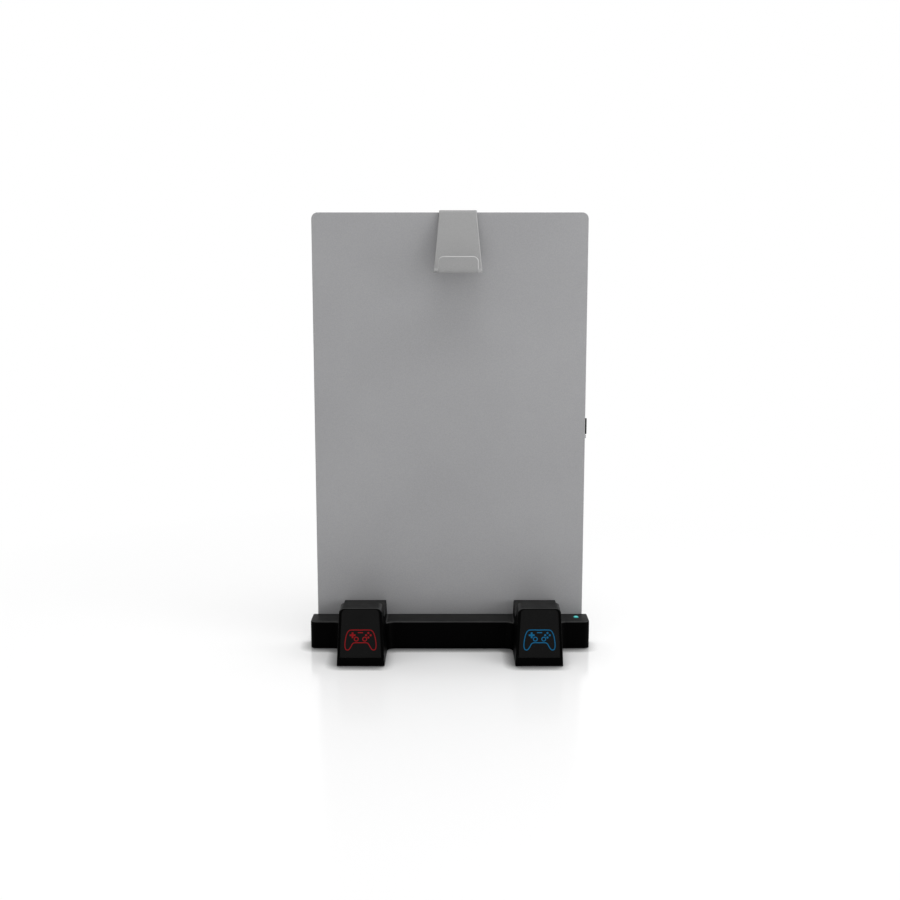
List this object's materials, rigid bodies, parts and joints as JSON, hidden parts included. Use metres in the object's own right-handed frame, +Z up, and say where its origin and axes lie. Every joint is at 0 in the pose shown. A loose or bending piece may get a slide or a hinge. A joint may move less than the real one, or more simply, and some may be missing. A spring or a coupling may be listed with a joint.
{
  "type": "console stand",
  "caption": "Free-standing console stand with an upright grey back panel and tray, a hanger over the top edge and a black charging dock with lit towers.",
  "frame": {"origin": "centre of the footprint, on the floor", "axes": "+X to the right seen from the front, +Y to the rear, +Z up"},
  "size_m": [0.27, 0.1924, 0.418],
  "materials": {
    "silver_paint": "satin powder coat",
    "black_abs": "satin",
    "smoked_plate": "smooth",
    "black_rubber": "matte",
    "white_plastic": "matte",
    "circuit_board": "satin",
    "chip_black": "matte",
    "plated_steel": "plated",
    "gilt_contact": "plated",
    "clear_pipe": "clear, lit",
    "lamp_white": "smooth",
    "ribbon_grey": "satin"
  },
  "bodies": {
    "root": {"back_panel": "silver_paint", "hanger_hook": "silver_paint", "cable_clip": "black_abs", "panel_screws": "plated_steel", "tray_pads": "black_rubber", "tray_feet": "black_rubber", "dock_top_case": "black_abs", "dock_base_plate": "black_abs", "base_plate_screws": "plated_steel", "dock_feet": "black_rubber", "main_board": "circuit_board", "main_board_chips": "chip_black", "board_screws": "plated_steel", "power_inlet": "plated_steel", "power_inlet_core": "chip_black", "status_lamp": "lamp_white", "status_light_pipe": "clear_pipe", "left_front_plate": "smoked_plate", "left_light_box": "white_plastic", "left_led_board": "circuit_board", "left_sign_lamps": "lamp_white", "left_sign_lead": "ribbon_grey", "left_contact_block": "black_abs", "left_contact_blades": "gilt_contact", "left_contact_board": "circuit_board", "left_contact_lead": "ribbon_grey", "right_front_plate": "smoked_plate", "right_light_box": "white_plastic", "right_led_board": "circuit_board", "right_sign_lamps": "lamp_white", "right_sign_lead": "ribbon_grey", "right_contact_block": "black_abs", "right_contact_blades": "gilt_contact", "right_contact_board": "circuit_board", "right_contact_lead": "ribbon_grey"}
  },
  "joints": []
}
